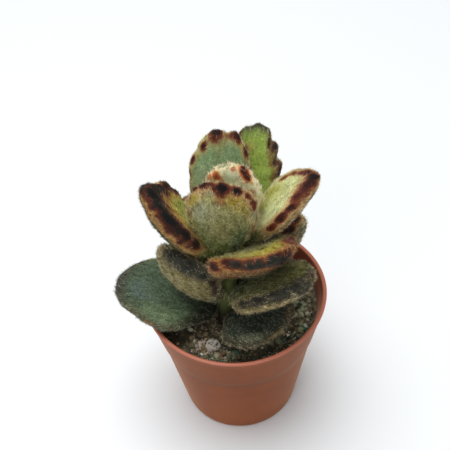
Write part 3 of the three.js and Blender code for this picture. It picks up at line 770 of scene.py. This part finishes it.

# Each leaf has its sizes from the model, then its colours as they are seen, 0 to 255: the upper face, the
# rim, the lower face, the middle of that and the root, whose colour is painted shade between the leaves.
# Places on it are in degrees: round the outline from the tip, and up from the margin to the middle of the
# upper face at 90, or down to the lower's at -90. A spot is (round, up, half width, half height, ink), a dab
# (round, up, spread, colour), and a tooth (round, height, width). Some dabs are painted shade, light or
# sheen.
leaves = [
    dict(node="leaf_low_left", height=48.5, out=2.9, aside=0.85, heading=173, turn=-3, pitch=(12.5, 16),
         long=30.5, wide=27, thick=5, roll=-3, cup=1, widest=0.52, blunt=2,
         teeth=[(58, -1.0, 24)],
         face=(92, 112, 88), rim=(100, 104, 76), under=(96, 100, 62), root=(36, 44, 28),
         # Of the dabs, the dark one at 140 is painted shade by the root and the bluish one at 20 is a painted
         # sheen
         dabs=[(88, 46, 34, (118, 138, 104)), (-4, 14, 54, (66, 64, 58)), (-70, 24, 20, (118, 126, 82)),
             (76, 0, 10, (150, 104, 58)), (140, 20, 34, (36, 44, 28)), (20, 66, 22, (98, 118, 108))],
         mottle=0.9, hair=(196, 196, 176), fringe=(150, 144, 120), fur=0.75, frost=0.6),
    dict(node="leaf_low_front", height=48.5, out=3.1, heading=-47, turn=-4, pitch=(20, 5), long=16.8,
         wide=23.5, thick=5, roll=8, cup=0.8,
         face=(56, 66, 54), rim=(70, 68, 48), under=(110, 98, 62), root=(34, 40, 28),
         dabs=[(-34, 34, 30, (112, 114, 92)), (45, 20, 20, (106, 74, 48)), (-48, -4, 9, (58, 38, 28)),
             (4, 0, 26, (132, 112, 66))], mottle=0.5, fringe=(140, 122, 80), fur=0.8, frost=0.6),
    dict(node="leaf_low_right", height=55.5, out=2.9, heading=-32, turn=-12, pitch=(31, 40), long=26.5,
         wide=25, thick=6.5, roll=12, cup=2.2, tooth=0.12,
         face=(122, 124, 60), rim=(112, 104, 58), under=(116, 100, 56), back=(92, 90, 58), root=(96, 118, 68),
         spots=[(-6, 22, 20, 27, "slate"), (-32, 16, 20, 21, "slate"), (8, -12, 12, 20, "slate"),
             (28, 20, 10, 18, (92, 50, 48)), (-54, 8, 16, 16, (50, 48, 38)), (-76, 6, 12, 10, (60, 56, 38))],
         dabs=[(70, 44, 22, (150, 142, 84)), (-56, 46, 26, (132, 132, 64)), (-80, -22, 16, (150, 132, 82)),
             (-56, -28, 20, (160, 140, 86)), (-28, -30, 18, (152, 130, 80))], glow=(84, 78, 52), glowing=0.5,
         rust=(66, 60, 48), mottle=0.5, frost=0.75, inkFrost=0.15),
    dict(node="leaf_middle_left", height=54.5, out=3, aside=-0.8, heading=190, turn=-8, pitch=(42, 82),
         long=26.5, wide=20.5, thick=7, roll=-42, cup=2.5, tooth=0.12,
         face=(92, 96, 58), rim=(128, 116, 76), under=(138, 126, 74), back=(150, 136, 82), root=(74, 84, 44),
         spots=[(8, -4, 20, 38, "slate"), (36, -6, 22, 40, "slate"), (58, -8, 14, 22, "slate"),
             (82, -12, 13, 12, (66, 50, 34)), (102, -14, 16, 13, (74, 42, 26))],
         dabs=[(-26, -10, 20, (182, 164, 124))], glow=(124, 112, 68), glowing=0.5, rust=(84, 76, 56),
         mottle=0.7, inkFrost=0.14),
    dict(node="leaf_middle_front", height=68.5, out=2.7, heading=-61, turn=-6, pitch=(38, 48), long=23,
         wide=24.5, thick=6.5, roll=6, cup=2.3, tooth=0.2,
         face=(146, 142, 84), rim=(150, 104, 50), under=(140, 94, 40), back=(136, 112, 64),
         root=(146, 154, 78),
         spots=[(-71, -2, 10, 15, "brown"), (-46, 12, 9, 20, "brown"), (-36, 2, 10, 16, (64, 54, 44)),
             (-18, -12, 17, 22, "slate"), (6, -16, 20, 28, "slate"), (27, -30, 15, 36, "black"),
             (52, 26, 13, 20, (140, 84, 72))],
         dabs=[(6, 46, 38, (196, 182, 66))], glow=(170, 112, 50), rust=(100, 46, 30), mottle=0.5,
         fringe=(186, 132, 62), frost=0.75, underFrost=0.4),
    dict(node="leaf_behind_right", height=60, out=2.9, heading=22, turn=0, pitch=(22, 42), long=25, wide=21,
         thick=6, roll=25, cup=1.7, tooth=0.12,
         face=(84, 80, 46), rim=(138, 130, 100), under=(122, 90, 50), root=(74, 72, 38),
         spots=[(-35, 50, 16, 18, "brown"), (-4, 40, 16, 24, "black"), (-100, -16, 22, 18, "brown")],
         dabs=[(-34, 24, 18, (170, 128, 108))], fur=0.8),
    dict(node="leaf_upper_left", height=67.4, out=2.9, aside=1.05, heading=181, turn=-6, pitch=(38.5, 72.5),
         long=33.4, wide=18, thick=7, roll=-12, cup=2.5,
         teeth=[(2, 0.8, 8), (-13, 0.45, 8), (-33, -0.5, 6), (-57, 1.5, 8), (-75, 0.8, 8), (-92, 0.5, 9),
             (17, -0.8, 10), (34, 0.2, 9), (55, 0.3, 9), (80, 0.4, 9), (100, 0.6, 14)],
         # Its root's colour is made paler as painted light in the shaded axil
         face=(204, 198, 82), rim=(196, 166, 112), under=(92, 84, 46), root=(134, 152, 66), edge=(-27, -4),
         spots=[(-66, 32, 12, 18, "brown"), (-50, 38, 14, 20, "brown"), (-30, 42, 15, 22, "black"),
             (-8, 44, 18, 20, (24, 22, 20)), (10, 28, 20, 33, (22, 22, 21)), (30, 24, 23, 38, (22, 24, 22)),
             (53, 22, 22, 37, (24, 24, 22)), (75, 18, 16, 32, (30, 20, 17)), (101, 22, 10, 22, "brown"),
             (-10, 2, 15, 18, (44, 50, 38)), (-32, 6, 13, 24, (50, 28, 22))],
         dabs=[(-70, 75, 44, (200, 206, 98)), (74, 60, 22, (214, 158, 62)), (40, 70, 24, (216, 184, 76)),
             (130, -4, 34, (108, 130, 52)), (108, -32, 22, (52, 52, 32)), (-24, 24, 8, (176, 124, 108))],
         glow=(204, 148, 70), glowing=0.75, rust=(104, 48, 30), mottle=0.2, frost=0.7, underFrost=0.12),
    dict(node="leaf_upper_right", height=73.4, out=2.7, heading=0, turn=4, pitch=(42, 52), long=29.7,
         wide=16.4, thick=6.5, roll=8, cup=2.2,
         teeth=[(-97, 0.3, 8), (-80, 0.3, 8), (-64, 0.3, 8), (-46, 0.3, 8), (-27, 0.3, 8), (-10, 0.3, 8),
             (30, -0.4, 22), (66, -0.5, 20)],
         face=(226, 230, 170), rim=(186, 150, 100), under=(150, 122, 72), root=(142, 154, 94),
         spots=[(-96, 4, 7, 9, "red"), (-80, 5, 9, 12, (84, 38, 26)), (-64, 6, 8, 12, "brown"),
             (-47, 22, 12, 26, (92, 40, 30)), (-28, 22, 14, 28, (78, 34, 26)), (-10, 16, 14, 29, "black"),
             (5, 32, 13, 13, (84, 42, 34)), (20, 40, 11, 9, (112, 58, 44)), (38, 47, 11, 8, (130, 76, 58)),
             (58, 53, 10, 7, (132, 78, 56))],
         dabs=[(105, 70, 26, (190, 188, 92)), (-130, 10, 30, (96, 104, 60))], glow=(214, 174, 112),
         rust=(136, 70, 46), mottle=0.2, fur=0.75, frost=0.85),
    dict(node="leaf_back_tall", height=70.5, out=3, aside=-0.6, heading=95, turn=2, pitch=(57, 75), long=32.5,
         wide=17.8, thick=5.5, roll=2, cup=1.5,
         teeth=[(-4, -0.2, 9), (-20, -0.5, 6), (-34, 1.6, 9), (-45, 0.4, 5), (-58, 0.5, 8), (12, -0.5, 7),
             (27, -0.7, 12), (42, -0.8, 8), (54, -0.1, 6), (74, -0.3, 7), (90, -0.3, 8)],
         face=(150, 178, 132), rim=(188, 176, 120), under=(150, 156, 104), root=(126, 150, 100),
         spots=[(-80, 20, 8, 18, "red"), (-55, 18, 7, 18, "brown"), (-34, 17, 9, 21, "brown"),
             (-2, 15, 14, 29, "black"), (27, 30, 8, 13, "brown"), (53, 16, 6, 12, "brown"),
             (70, 12, 4, 10, (128, 84, 52))],
         dabs=[(75, 60, 22, (176, 196, 156)), (50, 24, 16, (172, 164, 96)), (-46, 30, 12, (190, 168, 88))],
         glow=(176, 150, 84), glowing=0.5, mottle=0.5, fur=0.65),
    dict(node="leaf_back_green", height=65, out=3, heading=65, turn=4, pitch=(37, 67), long=39.3, wide=17.2,
         thick=5.5, roll=-8, cup=1.2,
         teeth=[(28, 0.7, 8), (12, -0.4, 6), (0, 0.2, 6), (-10, -0.2, 5), (-18, 0.2, 5), (-30, -1.5, 6),
             (-41, -0.1, 5), (-52, -1.4, 5), (-62, 0.4, 6), (-72, -0.6, 6), (45, 0.5, 8), (70, 0.5, 7)],
         face=(174, 200, 94), rim=(84, 88, 62), under=(136, 150, 76), root=(110, 116, 58),
         spots=[(-68, 16, 8, 24, "brown"), (-55, 32, 5, 12, "brown"), (-41, 20, 9, 24, (52, 40, 32)),
             (-29, 30, 5, 10, "brown"), (30, 64, 7, 8, "red"), (38, 26, 6, 34, "brown")],
         dabs=[(-46, 46, 16, (158, 132, 66)), (-70, 46, 16, (150, 120, 60)), (22, 60, 12, (196, 176, 96)),
             (20, 4, 22, (58, 70, 46)), (4, 2, 24, (58, 66, 46)), (-12, 2, 26, (54, 58, 42)),
             (-24, 8, 16, (62, 58, 40))], glow=(124, 108, 56), glowing=0.6, rust=(96, 66, 42), mottle=0.45,
         fur=0.6),
    dict(node="leaf_bud_front", height=73, out=3.6, aside=0.7, heading=-108, turn=3, pitch=(78, 97),
         long=25.5, wide=19.2, thick=5, roll=-5, cup=2.6, tooth=0.25,
         face=(208, 198, 136), rim=(222, 184, 134), under=(184, 176, 112), back=(174, 168, 112),
         # The root's colour and the dabs at 130 and -140 are made paler as painted light in the shaded axil
         root=(168, 194, 88),
         spots=[(-42, 0, 7, 11, "red"), (-24, -5, 9, 17, "brown"), (-13, -6, 6, 13, "red"),
             (4, -20, 12, 28, "black"), (27, -15, 9, 19, "black"), (44, -14, 5, 11, (118, 54, 36)),
             (57, -20, 7, 11, (124, 62, 42)), (66, -26, 5, 7, (110, 52, 36))],
         dabs=[(-52, -32, 19, (208, 188, 64)), (30, -46, 30, (184, 158, 54)), (-100, -36, 26, (162, 160, 62)),
             (-60, -62, 26, (184, 184, 146)), (78, -24, 18, (170, 180, 142)), (130, -46, 40, (120, 140, 98)),
             (-140, -46, 40, (134, 144, 78)), (2, -62, 10, (128, 88, 44)), (-12, -40, 12, (168, 176, 138))],
         glow=(204, 150, 88), glowing=0.5, mottle=0.8, fur=1.1, frost=1.15),
    dict(node="leaf_bud_back", height=77.0, out=1, heading=70, turn=4, pitch=(80, 93), long=21.6, wide=16,
         thick=4.8, roll=-10, cup=2.3, tooth=0.25,
         face=(230, 236, 204), rim=(244, 234, 196), under=(222, 212, 154), back=(150, 152, 108),
         root=(206, 206, 150),
         spots=[(-24, 14, 10, 28, (92, 36, 24)), (-34, 32, 9, 18, (108, 46, 30)),
             (29, 38, 7, 27, (190, 100, 56)), (42, 12, 5, 14, (214, 140, 90)),
             (-64, 54, 9, 7, (206, 128, 84)), (-4, 26, 4, 12, (214, 146, 110))],
         dabs=[(-5, 24, 9, (222, 172, 150)), (-44, 30, 9, (206, 150, 76)), (14, -4, 14, (112, 140, 96))],
         glow=(236, 184, 122), glowing=0.5, rust=(196, 112, 68), shadeUnderHairs=1, hair=(255, 246, 214),
         fringe=(250, 222, 160), frost=1.3, inkFrost=0.2),
    dict(node="leaf_rear_low", height=53.5, out=2.9, heading=108, turn=6, pitch=(14, 12), long=23, wide=17.5,
         thick=5, roll=0, cup=1,
         face=(92, 112, 84), rim=(84, 80, 68), under=(96, 100, 62), root=(44, 54, 34),
         dabs=[(0, 10, 40, (84, 80, 76))], mottle=0.75, fur=0.8, frost=0.6),
    dict(node="leaf_rear_right", height=51.2, out=2.9, heading=33, turn=-6, pitch=(14, 10), long=20.5,
         wide=16.5, thick=5, roll=0, cup=1,
         face=(88, 106, 78), rim=(84, 78, 64), under=(96, 100, 62), root=(44, 54, 34),
         dabs=[(0, 10, 40, (84, 78, 70))], mottle=0.75, fur=0.8, frost=0.6),
    dict(node="leaf_rear_left", height=59, out=2.8, heading=120, turn=4, pitch=(30, 44), long=25, wide=19,
         thick=5.5, roll=0, cup=2, tooth=0.12,
         face=(110, 114, 66), rim=(120, 104, 66), under=(116, 108, 68), root=(66, 72, 42),
         spots=[(-66, 4, 9, 14, "brown"), (-40, 6, 12, 20, "slate"), (-12, 8, 16, 24, "slate"),
             (20, 8, 16, 24, "slate"), (48, 6, 10, 18, "brown"), (72, 4, 8, 12, "brown")]),
]

# What a leaf has unless it says otherwise. Its rim gives way to the lower face between the two places of
# edge. Its spots have a glow and a rust ring. Its skin has blotches, and a factor that darkens its colours as
# painted shade between the hairs.
# Its hairs have a colour, a length, the fringe's colour, and how white the pale ones are: anywhere, on spots
# with inkFrost, and on the lower face with underFrost, which is as frost unless it is given.
leafPlain = dict(aside=0, tooth=0, back=(128, 136, 92), edge=(-60, -22), spots=[], dabs=[],
                 glow="gold", glowing=0.7, rust="rust", mottle=0.35, shadeUnderHairs=0.8,
                 hair="white", fur=1, fringe="tan", frost=1, inkFrost=0)


def direction(heading, pitch):
    level = math.cos(pitch)
    return np.array([math.cos(heading) * level, math.sin(heading) * level, math.sin(pitch)])


# Half the leaf's width at a share of its length
def halfWidth(leaf, share):
    form = {**leafForm, **leaf}
    grown = np.sin(np.pi / 2 * np.clip(share / form["widest"], 0, 1)) ** form["growth"]
    past = np.clip((share - form["tipFrom"]) / (1 - form["tipFrom"]), 0, 1)
    tip = np.sqrt(np.clip(1 - past ** form["blunt"], 0, 1))
    root = np.sqrt(1 - (1 - np.clip(share / form["rootCap"], 0, 1)) ** 2)
    return leaf["wide"] / 2 * blend(form["neck"], 1, grown) * tip * root


def away(around, place):  # degrees between two places on the outline, the short way
    return (around - place + 180) % 360 - 180


# A tooth at each spot by the margin, up to 45 degrees from it, and evenly where no spot is within 15 degrees
def plainTeeth(leaf):
    places = [spot[0] for spot in leaf["spots"] if abs(spot[1]) < 45]
    even = np.arange(-90, 91, leafForm["toothStep"])
    places += [one for one in even if all(abs(away(one, place)) > 15 for place in places)]
    return [(place, leafForm["toothScale"] * leaf["tooth"], leafForm["toothWidth"]) for place in places]


# How far the outline stands out with its teeth, in millimetres: a bump at each place where a tooth stands,
# or a notch where its height is below 0
def toothLine(leaf, around):
    fade = leafForm["toothFade"]
    far = np.clip((np.cos(np.radians(around)) + fade) / (2 * fade), 0, 1)
    return far * sum(high * np.exp(-((around - place) / width) ** 2) for place, high, width in leaf["teeth"])


# The leaf's surface: turn goes round the outline from the root, tilt from the upper face over the margin to
# the lower one, both in radians. The outline is filled from the heart, the section is a squarish oval,
# bent into a cup, and carried along a curve that bends from the root's pitch to the tip's.
def leafSurface(leaf, turn, tilt):
    share = (1 - np.cos(turn)) / 2
    heart = leafForm["heart"] * leaf["long"]
    side = halfWidth(leaf, share) * np.sign(np.sin(turn))
    around = np.degrees(turn) - 180
    push = 1 + toothLine(leaf, around) / np.hypot(share * leaf["long"] - heart, side)
    reach = np.abs(np.cos(tilt)) ** leafForm["square"]
    lift = np.sign(np.sin(tilt)) * np.abs(np.sin(tilt)) ** leafForm["square"]
    along = heart + (share * leaf["long"] - heart) * push * reach
    across = side * push * reach
    step = np.clip(along / leaf["long"], 0, 1)
    plump = blend(leafForm["rootThickness"], 1, np.sin(np.pi * step))
    cupped = leaf["cup"] * (across / (leaf["wide"] / 2)) ** 2 * np.clip(step / leafForm["cupFrom"], 0, 1)
    above = leaf["thick"] / 2 * lift * plump + cupped
    heading, swing, roll, rootPitch, tipPitch = np.radians(
        [leaf["heading"], leaf["turn"], leaf["roll"], *leaf["pitch"]])
    root = stemAxis(leaf["height"]) + leaf["out"] * direction(heading, 0)
    root = root + leaf["aside"] * direction(heading - math.pi / 2, 0)
    rootArm = leaf["long"] / 2 * direction(heading, rootPitch)
    tipArm = leaf["long"] / 2 * direction(heading + swing, tipPitch)
    spine = root + 2 * step * (1 - step) * rootArm + step**2 * (rootArm + tipArm)
    forward = unit(blend(rootArm, tipArm, step))
    level = heading + swing * step
    upward = unit(np.cross(np.concatenate([np.sin(level), -np.cos(level), 0 * level], -1), forward))
    sideways = np.cross(forward, upward)
    edgeways = math.cos(roll) * sideways + math.sin(roll) * upward
    normal = math.cos(roll) * upward - math.sin(roll) * sideways
    return spine + edgeways * across + normal * above + forward * (along - step * leaf["long"])


# How deep in a spot a place lies, 1 at a spot's middle, 0 on its edge and less outside, and the ink there.
# Spots that meet run together: the field is the logarithm of the sum of their exponentials.
def spotField(leaf, around, up):
    sharp = 5
    weight = np.full(around.shape, math.exp(-2 * sharp))
    ink = weight * tint("brown")
    for place, height, wide, high, name in leaf["spots"]:
        share = np.exp(sharp * (1 - np.hypot(away(around, place) / wide, (up - height) / high)))
        weight = weight + share
        ink = ink + share * tint(name)
    return np.log(weight) / sharp, ink / weight


# The flesh: the upper face, the margin and the lower face in their colours, with the root's colour toward the
# root as painted shade between the leaves, lighter on some leaves as painted light in the shaded axil, and
# with dabs of other colours laid over them, some of which are painted shade, light or sheen
def fleshColour(leaf, around, up):
    share = (1 + np.cos(np.radians(around)) * np.cos(np.radians(up))) / 2
    colour = blend(tint(leaf["rim"]), tint(leaf["face"]), soft(up, *leafForm["faceEnds"]))
    colour = blend(tint(leaf["under"]), colour, soft(up, *leaf["edge"]))
    colour = blend(tint(leaf["back"]), colour, soft(up, *leafForm["underEnds"]))
    # painted shade toward the root, where the leaves shade each other; on some leaves lighter, as painted
    # light in the axil
    colour = blend(tint(leaf["root"]), colour, soft(share, *leafForm["rootShadeAndLightEnds"]))
    for place, height, spread, dab in leaf["dabs"]:
        apart = np.hypot(away(around, place) * np.cos(np.radians(up)), up - height) / spread
        colour = blend(colour, tint(dab), soft(1 - apart, 0, 0.8))
    return colour


# From a spot's middle outward: a dark core, ink, a rust ring, then a glow that fades into the flesh. These
# are the depths in the spot's field where each begins and is full.
spotRings = dict(core=(0.35, 0.9), ink=(0.0, 0.5), rust=(-0.4, 0.1), glow=(-1.0, -0.2))


def leafLook(leaf):
    look = Look(leaf["node"] + "_skin")
    fine = look.noise(0.4, 3, 0.6)
    cloud = look.noise(2.2, 3)
    grain = look.noise(0.7, 2)
    flesh = look.attribute("flesh", "Color")
    ink = look.attribute("ink", "Color")
    depth = look.attribute("spot") + (fine - 0.5) * 0.28
    colour = look.mix(cloud.ramp(0.3, 0.7) * 0.3, flesh, look.times(flesh, (0.6, 0.66, 0.5)))
    colour = look.mix(grain.ramp(0.42, 0.62) * leaf["mottle"], colour, look.times(flesh, (0.5, 0.5, 0.45)))
    colour = look.mix(depth.ramp(*spotRings["glow"]) * leaf["glowing"], colour, tint(leaf["glow"]))
    colour = look.mix(depth.ramp(*spotRings["rust"]), colour, tint(leaf["rust"]))
    colour = look.mix(depth.ramp(*spotRings["ink"]), colour, ink)
    colour = look.mix(depth.ramp(*spotRings["core"]), colour, look.times(ink, (0.45, 0.4, 0.4)))
    # painted shade: the skin between the hairs is darkened by this factor
    return look.finish(look.times(colour, leaf["shadeUnderHairs"] * np.array([1, 1, 0.95])), 0.75, 0.25, {
        "Sheen Weight": 0.15,
        "Sheen Roughness": 0.4,
        "Sheen Tint": (0.9, 0.88, 0.74),
        "Normal": look.bump(fine + cloud * 0.6, 0.12, 0.6),
    })


# The skin's colour at a place, worked out as the material does, for the hairs that grow there
def skinColour(leaf, flesh, depth, ink):
    colour = blend(flesh, tint(leaf["glow"]), soft(depth, *spotRings["glow"]) * leaf["glowing"])
    colour = blend(colour, tint(leaf["rust"]), soft(depth, *spotRings["rust"]))
    colour = blend(colour, ink, soft(depth, *spotRings["ink"]))
    return colour * (1 - 0.58 * soft(depth, *spotRings["core"]))


def feltLook():
    look = Look("feltHair")
    return look.finish(look.attribute("tone", "Color"), 0.6, 0.3, {})


def onto(vectors, axis):  # the part of each vector that lies along a unit axis
    return (vectors * axis).sum(-1, keepdims=True) * axis


# A hair is a closed spike of four faces: three points round the root and one at the tip. On the bake's map
# the four points lie at the corners of the hair's own square.
spike = np.array([[0, 1, 3], [1, 2, 3], [2, 0, 3], [0, 2, 1]])
spikeMap = np.array([[0.15, 0.15], [0.85, 0.15], [0.15, 0.85], [0.85, 0.85]])[spike].reshape(-1, 2)


# Hairs stand on the leaf's grid, spread by area. Each leans its own way and toward the tip. Pale ones gather
# in streaks along the leaf and keep off the spots. skin has what the surface is like at each of its points.
def makeFelt(leaf, grid, skin, dice, material):
    first = grid[:-1]
    across = np.roll(first, -1, axis=1) - first
    down = grid[1:] - first
    normals = np.cross(down, across)
    area = np.linalg.norm(normals, axis=-1).reshape(-1)
    count = int(area.sum() * felt["density"])
    cells = dice.choice(len(area), count, p=area / area.sum())

    def pick(values):
        return values[:len(first)].reshape(len(area), -1)[cells]

    u, v = dice.random((2, count, 1))
    place = pick(first) + pick(across) * u + pick(down) * v
    normal = unit(pick(normals))
    margin = grid[len(grid) // 2]
    combAxis = unit(margin[len(margin) // 2] - margin[0])
    wild = dice.normal(size=(count, 3))
    wild = unit(wild - onto(wild, normal))
    lean = between(dice, count, 0, felt["wild"]) * wild + felt["combed"] * (combAxis - onto(combAxis, normal))
    way = unit(normal * between(dice, count, 0.12, 0.52) + lean)
    depth = pick(skin["depth"]) + felt["astray"] * dice.normal(size=(count, 1))
    covered = 1 - (1 - leaf["inkFrost"]) * soft(depth, *felt["thins"])
    streak = roughness(place - felt["drawn"] * onto(place, combAxis), felt["streakSize"], 2, 6)
    chosen = dice.random((count, 1)) < felt["pale"] * covered * (1 + felt["clump"] * streak)
    length = felt["length"] * leaf["fur"] * between(dice, count, 0.45, 1.25, 1.5)
    length = length * blend(1, felt["paleLength"], chosen) * (1 + felt["longer"] * pick(skin["fringe"]))
    half = felt["width"] / 2 * (1 - 0.1 * chosen)
    side = unit(np.cross(way, dice.normal(size=(count, 3))))
    other = np.cross(way, side)
    foot = place - normal * felt["sunk"]
    corners = [foot + half * (math.cos(a) * side + math.sin(a) * other) for a in circle(3)]
    points = np.stack([*corners, place + way * length], 1)
    colour = skinColour(leaf, pick(skin["flesh"]), depth, pick(skin["ink"]))
    colour = blend(colour, tint(leaf["fringe"]), pick(skin["fringe"]) * covered * felt["fringe"])
    hoary = blend(leaf["underFrost"], leaf["frost"], pick(skin["above"]))
    pale = np.minimum(1, chosen * hoary * between(dice, count, 0.3, 1))
    tones = colour * between(dice, count, 0.35, 1.4) * np.maximum(0.2, 1 + felt["streak"] * streak)
    tones = blend(tones, blend(tint(leaf["hair"]), np.minimum(1, 2.2 * colour), 0.35), pale)
    install(makeCrowd(leaf["node"] + "_felt", points, [spike], [spikeMap], tones, material, False), "leaf")
    return count


# Rows from the upper face's middle to the lower one's, spread so that they lie evenly on both the faces and
# the margin, where the squarish section would crowd even steps of the angle
def leafTilts():
    step = np.linspace(0, 2, leafForm["layers"] + 1)[1:-1]
    share = np.where(step <= 1, step, 2 - step)
    power = 1 / leafForm["square"]
    off = share**power / (share**power + (1 - share) ** power)
    return np.pi / 2 * (1 - off) * np.where(step <= 1, 1, -1)


# Noise swells the surface along its normals. Two more make the spots' edges ragged: one in space, and one of
# rays that run from the margin inward.
def makeLeaf(leaf, dice, hair):
    tilt, turn = np.meshgrid(leafTilts(), circle(leafForm["round"]), indexing="ij")
    tilt, turn = tilt[..., None], turn[..., None]
    around, up = np.degrees(turn) - 180, np.degrees(tilt)
    grid = leafSurface(leaf, turn, tilt)
    across = np.roll(grid, -1, axis=1) - np.roll(grid, 1, axis=1)
    normal = unit(np.cross(np.gradient(grid, axis=0), across))
    grid = grid + normal * leafForm["ripple"] * roughness(grid, leafForm["rippleSize"], 2, 3)
    rays = np.concatenate([around, leafForm["rayLength"] * up, 0 * up], -1)
    depth, ink = spotField(leaf, around, up)
    depth = depth + leafForm["ragged"] * roughness(grid, leafForm["raggedSize"], 2, 8)
    depth = depth + leafForm["rays"] * roughness(rays, leafForm["rayWidth"], 2, 9)
    skin = dict(flesh=fleshColour(leaf, around, up), ink=ink, depth=depth, above=soft(up, *leaf["edge"]),
                fringe=np.cos(np.radians(np.clip(up * 1.8, -90, 90))))
    thing = makeBall(leaf["node"] + "_body", grid, leafLook(leaf))
    for name, part in (("flesh", "flesh"), ("ink", "ink"), ("spot", "depth")):
        setLayer(thing, name, ballPoints(skin[part]))
    install(thing, "leaf", leaf["node"])
    return makeFelt(leaf, grid, skin, dice, hair)


def makeLeaves():
    dice = np.random.default_rng(5)
    hair = feltLook()
    total = 0
    for given in leaves:
        leaf = {**leafPlain, **given}
        leaf.setdefault("underFrost", leaf["frost"])
        leaf.setdefault("teeth", plainTeeth(leaf))
        total += makeLeaf(leaf, dice, hair)
    print("leaves made, with", total, "hairs")


makeLeaves()
